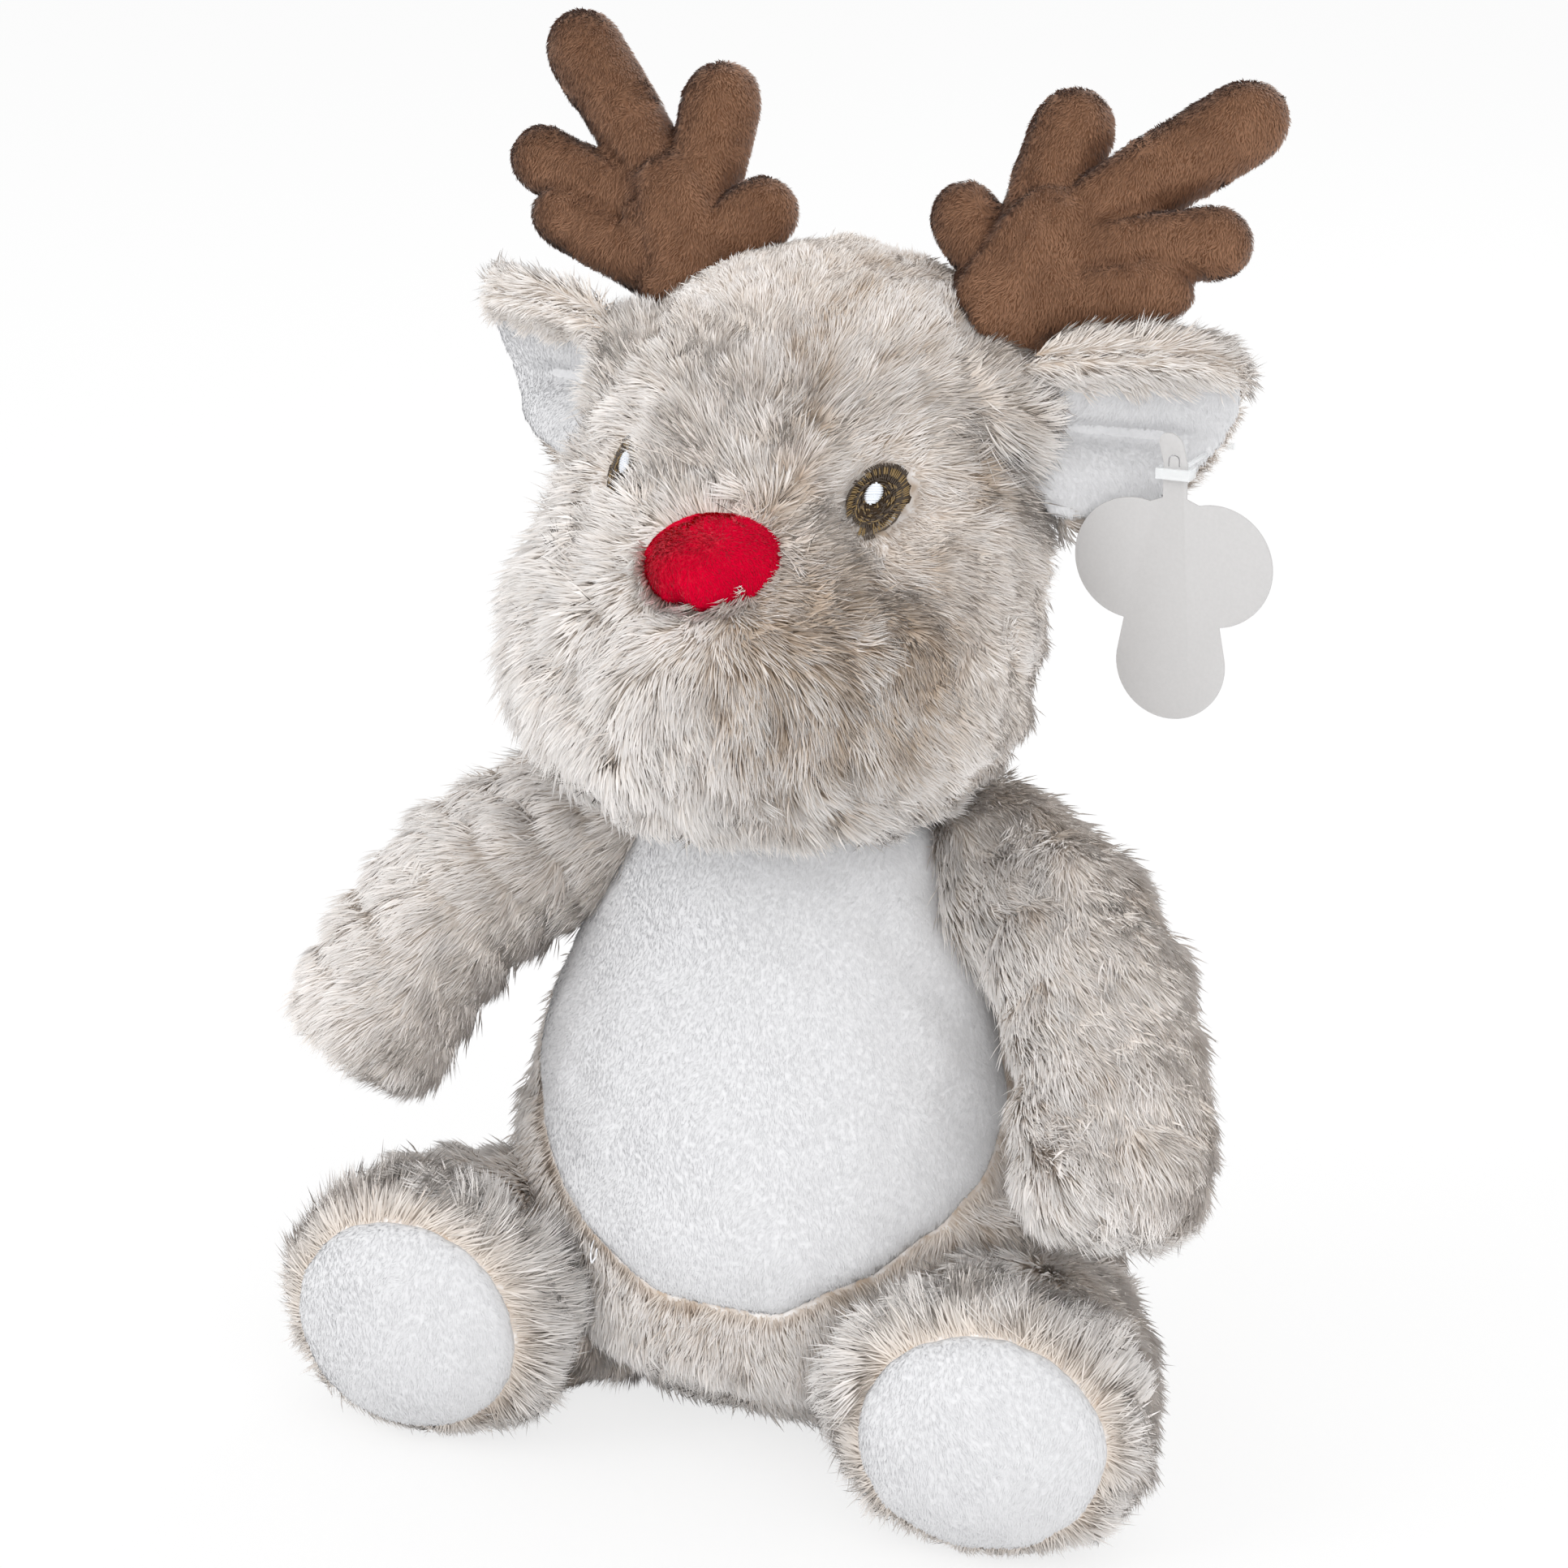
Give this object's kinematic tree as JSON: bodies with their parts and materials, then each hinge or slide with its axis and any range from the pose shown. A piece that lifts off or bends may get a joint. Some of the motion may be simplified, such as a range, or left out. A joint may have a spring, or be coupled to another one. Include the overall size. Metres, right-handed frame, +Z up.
{
  "type": "plush deer",
  "caption": "Seated plush deer with frosted long-pile fur, velour antlers, domed red nose, white belly and foot pads, folded ears and a blank hanging card tag.",
  "frame": {"origin": "on the floor, on the flat seat under the torso, in the plane that splits the toy left from right", "axes": "+Z up; the toy faces -Y; its own left side is +X"},
  "size_m": [0.2316, 0.1429, 0.3302],
  "materials": {
    "frosted_fur": "long pile, taupe roots with cream tips",
    "white_velour": "short white pile",
    "brown_velour": "short brown pile",
    "red_velour": "short red pile",
    "brown_thread": "glossy embroidery thread",
    "stuffing": "loose polyester wadding",
    "pouch_cloth": "plain woven cloth",
    "tag_card": "matt card",
    "clear_plastic": "clear"
  },
  "bodies": {
    "torso": {"torso_skin": "frosted_fur", "belly_panel": "white_velour", "torso_stuffing": "stuffing", "pellet_pouch": "pouch_cloth"},
    "head": {"head_skin": "frosted_fur", "head_stuffing": "stuffing", "nose": "red_velour", "eye_left": "brown_thread", "eye_right": "brown_thread"},
    "arm_left": {"arm_skin_left": "frosted_fur", "arm_stuffing_left": "stuffing"},
    "arm_right": {"arm_skin_right": "frosted_fur", "arm_stuffing_right": "stuffing"},
    "leg_left": {"leg_skin_left": "frosted_fur", "leg_stuffing_left": "stuffing", "foot_pad_left": "white_velour"},
    "leg_right": {"leg_skin_right": "frosted_fur", "leg_stuffing_right": "stuffing", "foot_pad_right": "white_velour"},
    "ear_left": {"ear_back_left": "frosted_fur", "ear_lining_left": "white_velour"},
    "ear_right": {"ear_back_right": "frosted_fur", "ear_lining_right": "white_velour"},
    "antler_left": {"antler_skin_left": "brown_velour", "antler_stuffing_left": "stuffing"},
    "antler_right": {"antler_skin_right": "brown_velour", "antler_stuffing_right": "stuffing"},
    "fastener": {"tag_fastener": "clear_plastic"},
    "tag": {"swing_tag": "tag_card"}
  },
  "joints": [
    {"name": "head_nod", "type": "hinge", "parent": "torso", "child": "head", "pos_m": [0, 0.002, 0.153], "axis": [1, 0, 0], "range_deg": [-10, 8], "stiffness_Nm_per_rad": 1.5},
    {"name": "shoulder_left", "type": "hinge", "parent": "torso", "child": "arm_left", "pos_m": [0.03835, 0, 0.141], "axis": [1, 0, 0], "range_deg": [-35, 8], "stiffness_Nm_per_rad": 0.4},
    {"name": "shoulder_right", "type": "hinge", "parent": "torso", "child": "arm_right", "pos_m": [-0.03835, 0, 0.141], "axis": [1, 0, 0], "range_deg": [-35, 8], "stiffness_Nm_per_rad": 0.4},
    {"name": "hip_left", "type": "hinge", "parent": "torso", "child": "leg_left", "pos_m": [0.046, 0, 0.037], "axis": [1, 0, 0], "range_deg": [-4, 18], "stiffness_Nm_per_rad": 0.6},
    {"name": "hip_right", "type": "hinge", "parent": "torso", "child": "leg_right", "pos_m": [-0.046, 0, 0.037], "axis": [1, 0, 0], "range_deg": [-4, 18], "stiffness_Nm_per_rad": 0.6},
    {"name": "ear_flop_left", "type": "hinge", "parent": "head", "child": "ear_left", "pos_m": [0.05119, -0.004, 0.245], "axis": [0, 1, 0], "range_deg": [-5, 14], "stiffness_Nm_per_rad": 0.15},
    {"name": "ear_flop_right", "type": "hinge", "parent": "head", "child": "ear_right", "pos_m": [-0.05119, -0.004, 0.245], "axis": [0, -1, 0], "range_deg": [-5, 14], "stiffness_Nm_per_rad": 0.15},
    {"name": "antler_flex_left", "type": "hinge", "parent": "head", "child": "antler_left", "pos_m": [0.043, 0.006, 0.267], "axis": [1, 0, 0], "range_deg": [-9, 9], "stiffness_Nm_per_rad": 0.4},
    {"name": "antler_flex_right", "type": "hinge", "parent": "head", "child": "antler_right", "pos_m": [-0.043, 0.006, 0.267], "axis": [1, 0, 0], "range_deg": [-9, 9], "stiffness_Nm_per_rad": 0.4},
    {"name": "fastener_turn", "type": "hinge", "parent": "ear_left", "child": "fastener", "pos_m": [0.08772, -0.00223, 0.24147], "axis": [0, 1, 0], "range_deg": [-14, 5]},
    {"name": "tag_swing", "type": "hinge", "parent": "fastener", "child": "tag", "pos_m": [0.08772, -0.00223, 0.24147], "axis": [1, 0, 0], "range_deg": [-30, 4]}
  ],
  "couplings": [
    {"joint": "fastener_turn", "follows": "ear_flop_left", "ratio": -1}
  ]
}
